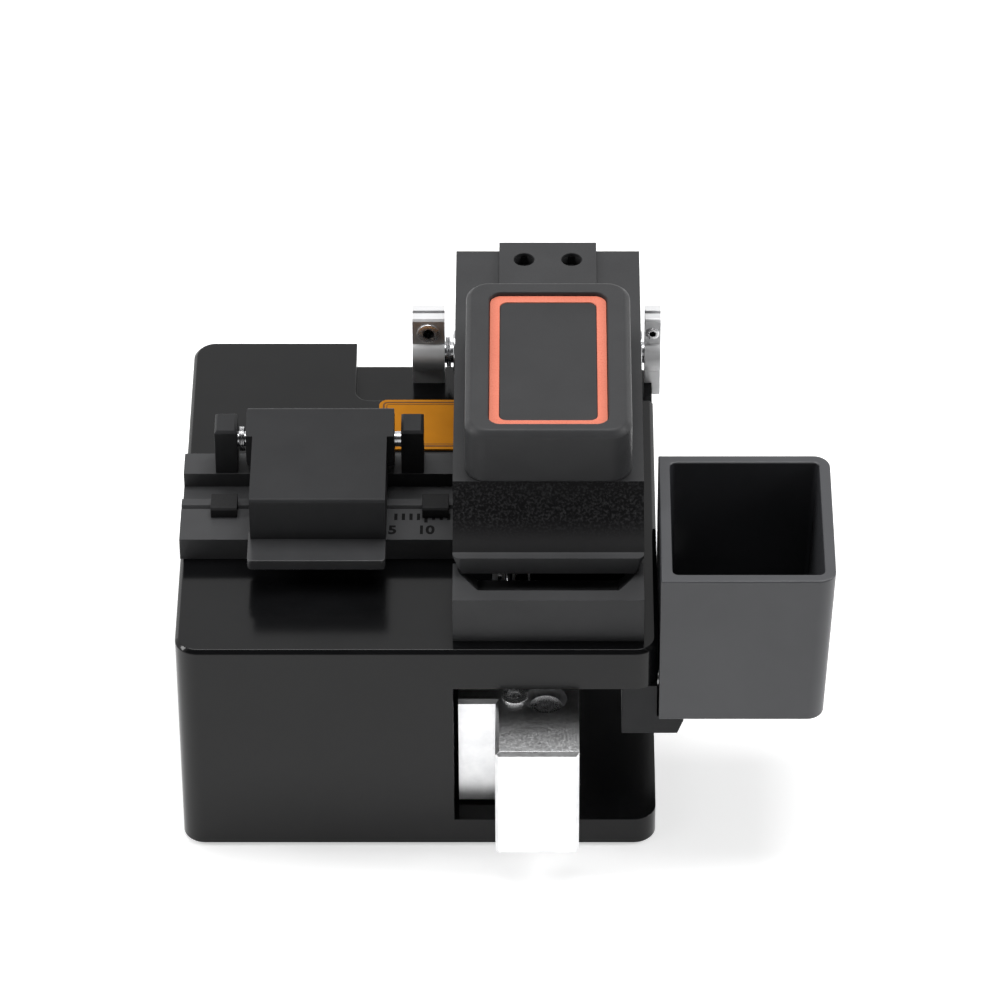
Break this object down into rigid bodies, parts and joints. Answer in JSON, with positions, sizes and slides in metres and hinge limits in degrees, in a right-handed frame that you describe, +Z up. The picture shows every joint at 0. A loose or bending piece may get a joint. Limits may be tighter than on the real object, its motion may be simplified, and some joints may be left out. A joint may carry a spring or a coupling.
{
  "type": "optical fibre cleaver",
  "caption": "Bench fibre cleaver: black C-shaped base with a grooved fibre bed and clamp lid, a hinged pressing lever, a push slider that carries a disc blade, and an open scrap bin.",
  "frame": {"origin": "centre of the base's non-slip pad, on the surface that the base stands on", "axes": "+Z up; +Y from the push nose at the front to the lever's hinge at the rear; +X from the fibre's entry at the left to the scrap bin at the right, along the fibre"},
  "size_m": [0.0857, 0.0726, 0.0587],
  "materials": {
    "black_anodised": "satin black anodised, bead blasted",
    "black_cast": "fine-textured black paint on a machined casting",
    "bin_black": "fine matt moulded plastic",
    "bright_aluminium": "fine milled, clear anodised",
    "steel": "ground steel",
    "black_steel": "blackened steel",
    "screw_steel": "bright plated screws",
    "spring_steel": "drawn spring wire",
    "magnet_nickel": "nickel plated magnets",
    "rubber": "black clamping rubber",
    "notice_orange": "orange plate, left blank",
    "ring_orange": "salmon orange frame",
    "plate_grey": "dark grey plate, left blank",
    "blade_carbide": "polished hard metal"
  },
  "bodies": {
    "base": {"base_body": "black_anodised", "base_pad": "rubber", "fibre_bed": "black_anodised", "bed_magnet": "magnet_nickel", "bed_screws": "black_steel", "fibre_guide_left": "black_anodised", "fibre_guide_right": "black_anodised", "lid_ear_left": "black_anodised", "lid_ear_right": "black_anodised", "lid_pin": "steel", "lid_spring": "spring_steel", "notice_plate": "notice_orange", "thumb_block": "black_cast", "clamp_block_left": "steel", "clamp_block_right": "steel", "clamp_block_screws": "screw_steel", "clamp_magnet": "magnet_nickel", "lower_pads": "rubber", "hinge_bracket_left": "bright_aluminium", "hinge_bracket_right": "bright_aluminium", "bracket_foot_screw": "black_steel", "clamp_screws": "screw_steel", "hinge_shaft": "steel", "hinge_spring": "spring_steel", "linear_rail": "steel", "rail_screws": "screw_steel", "stop_pin": "steel", "bin_bracket": "black_anodised", "bin_arm_screws": "black_steel", "scrap_bin": "bin_black", "bin_screws": "screw_steel"},
    "slider": {"rail_carriage": "steel", "slider_block": "bright_aluminium", "carriage_screws": "screw_steel", "nose_screw": "screw_steel", "blade_set_screw": "screw_steel", "blade_holder": "steel", "holder_screws": "screw_steel", "blade_shaft": "steel", "blade_screw": "screw_steel"},
    "blade": {"blade": "blade_carbide"},
    "lever": {"lever_arm": "black_cast", "lever_cap": "black_cast", "cap_screws": "black_steel", "cap_ring": "ring_orange", "cap_plate": "plate_grey", "back_plate": "black_cast", "back_screws": "black_steel", "hinge_bushes": "steel", "upper_clamp_left": "steel", "upper_clamp_right": "steel", "upper_pads": "rubber", "lever_magnet": "magnet_nickel", "anvil_spring": "spring_steel"},
    "anvil": {"anvil": "steel"},
    "lid": {"lid": "black_anodised", "lid_tab": "black_anodised", "lid_tab_screws": "black_steel", "lid_pads": "rubber", "lid_magnet": "magnet_nickel"}
  },
  "joints": [
    {"name": "lever_hinge", "type": "hinge", "parent": "base", "child": "lever", "pos_m": [0.017, 0.03, 0.0344], "axis": [-1, 0, 0], "range_deg": [0, 90]},
    {"name": "lid_hinge", "type": "hinge", "parent": "base", "child": "lid", "pos_m": [-0.0131, 0.0022, 0.0417], "axis": [-1, 0, 0], "range_deg": [0, 110]},
    {"name": "slider_slide", "type": "slide", "parent": "base", "child": "slider", "axis": [0, 1, 0], "range_m": [0, 0.02]},
    {"name": "blade_index", "type": "hinge", "parent": "slider", "child": "blade", "pos_m": [0.01195, -0.016, 0.0297], "axis": [1, 0, 0], "continuous": true},
    {"name": "anvil_plunge", "type": "slide", "parent": "lever", "child": "anvil", "axis": [0, 0, 1], "range_m": [0, 0.001], "stiffness_N_per_m": 300, "springref_m": -0.002, "deforming": ["anvil_spring"]}
  ]
}
